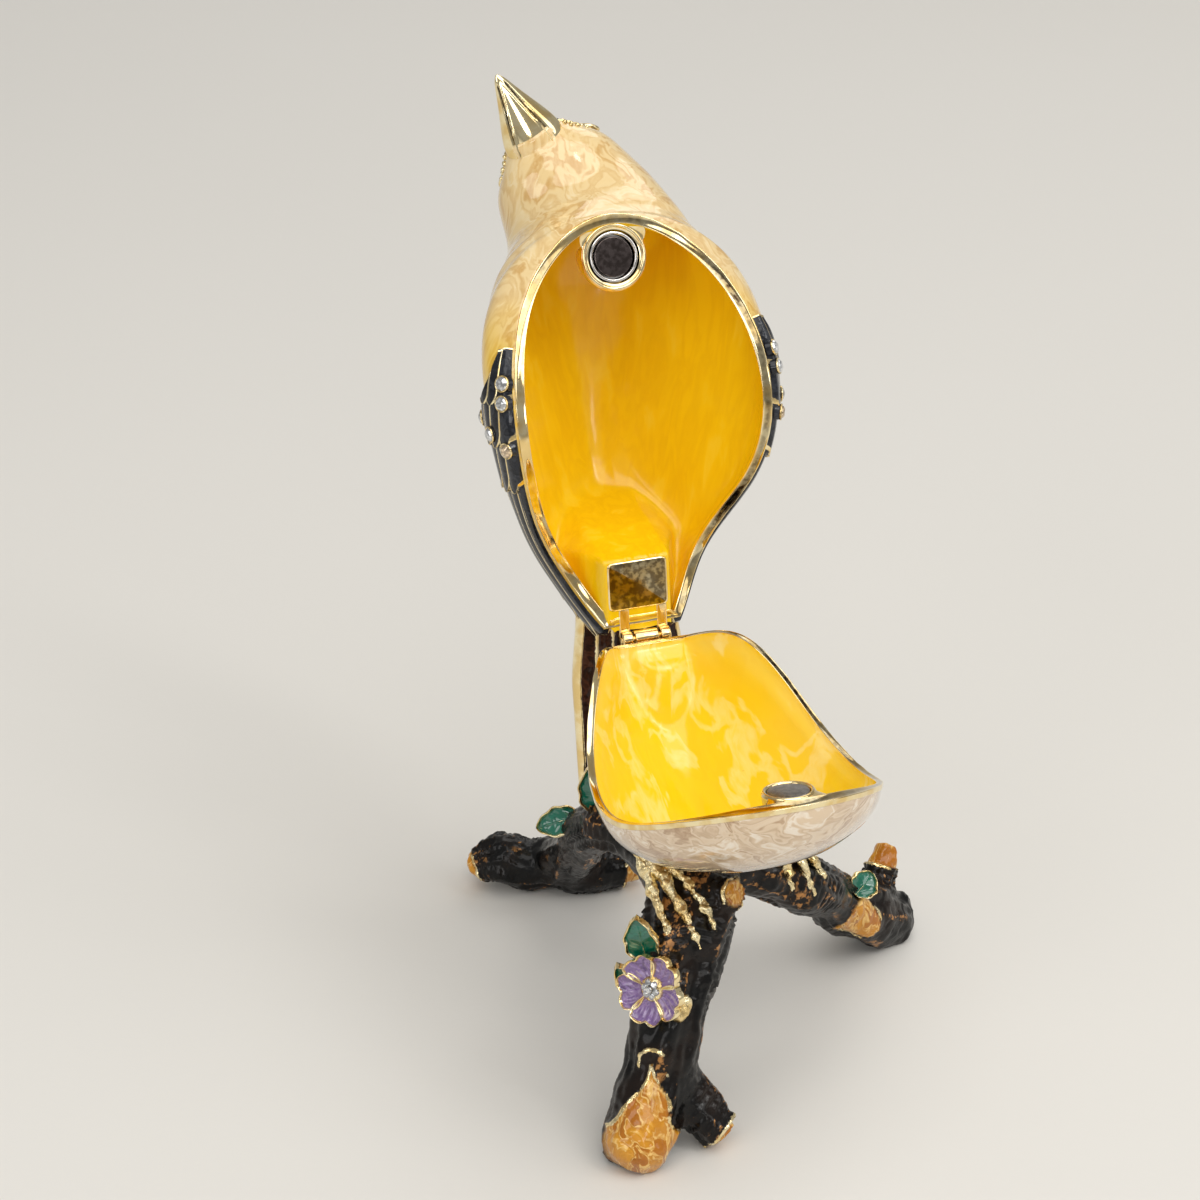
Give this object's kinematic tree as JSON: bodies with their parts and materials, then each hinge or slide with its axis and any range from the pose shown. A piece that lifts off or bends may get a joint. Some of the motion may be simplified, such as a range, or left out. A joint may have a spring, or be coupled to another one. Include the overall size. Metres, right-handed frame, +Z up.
{
  "type": "hinged trinket box",
  "caption": "Enamelled bird-shaped trinket box on a three-footed branch, its back and head hinged up as a lid over a shallow bowl.",
  "frame": {"origin": "centre of the bounding box's base, on the floor under the branch's feet, with the lid standing open", "axes": "+Z up, the bird's breast and the bowl's front towards -Y, +X to the bird's left and along the hinge axis"},
  "size_m": [0.06, 0.0926, 0.1235],
  "materials": {
    "belly_bowl": "glossy cream pearl enamel outside, yellow inside, polished gold rim",
    "branch_stand": "glossy dark bark enamel with rubbed copper ridges and amber cut ends",
    "claw_left": "bright rough gold plate",
    "claw_right": "bright rough gold plate",
    "leaf_front_upper": "deep green translucent enamel with a gold edge",
    "leaf_front_lower": "deep green translucent enamel with a gold edge",
    "leaf_rear_upper": "deep green translucent enamel with a gold edge",
    "leaf_rear_lower": "deep green translucent enamel with a gold edge",
    "leaf_right": "deep green translucent enamel with a gold edge",
    "flower": "violet pearl enamel with gold edges",
    "flower_gem": "clear faceted stone",
    "bowl_magnet": "dark polished nickel",
    "hinge_leaf_bowl": "polished gold-plated brass",
    "hinge_pin": "polished gold-plated brass",
    "lid_shell": "glossy pearl enamel over gold-plated casting, polished gold rim and beak",
    "lid_magnet_cup": "polished nickel",
    "lid_magnet": "dark polished nickel",
    "hinge_leaf_lid": "polished gold-plated brass",
    "gem_left_1": "clear faceted stone",
    "gem_left_2": "clear faceted stone",
    "gem_left_3": "clear faceted stone",
    "gem_left_4": "clear faceted stone",
    "gem_left_5": "clear faceted stone",
    "gem_left_6": "clear faceted stone",
    "gem_right_1": "clear faceted stone",
    "gem_right_2": "clear faceted stone",
    "gem_right_3": "clear faceted stone",
    "gem_right_4": "clear faceted stone",
    "gem_right_5": "clear faceted stone",
    "gem_right_6": "clear faceted stone"
  },
  "bodies": {
    "base": {"belly_bowl": "belly_bowl", "branch_stand": "branch_stand", "claw_left": "claw_left", "claw_right": "claw_right", "leaf_front_upper": "leaf_front_upper", "leaf_front_lower": "leaf_front_lower", "leaf_rear_upper": "leaf_rear_upper", "leaf_rear_lower": "leaf_rear_lower", "leaf_right": "leaf_right", "flower": "flower", "flower_gem": "flower_gem", "bowl_magnet": "bowl_magnet", "hinge_leaf_bowl": "hinge_leaf_bowl", "hinge_pin": "hinge_pin"},
    "lid": {"lid_shell": "lid_shell", "lid_magnet_cup": "lid_magnet_cup", "lid_magnet": "lid_magnet", "hinge_leaf_lid": "hinge_leaf_lid", "gem_left_1": "gem_left_1", "gem_left_2": "gem_left_2", "gem_left_3": "gem_left_3", "gem_left_4": "gem_left_4", "gem_left_5": "gem_left_5", "gem_left_6": "gem_left_6", "gem_right_1": "gem_right_1", "gem_right_2": "gem_right_2", "gem_right_3": "gem_right_3", "gem_right_4": "gem_right_4", "gem_right_5": "gem_right_5", "gem_right_6": "gem_right_6"}
  },
  "joints": [
    {"name": "lid_hinge", "type": "hinge", "parent": "base", "child": "lid", "pos_m": [-0.00926, 0.00972, 0.054], "axis": [1, 0, 0], "range_deg": [0, 98]}
  ]
}
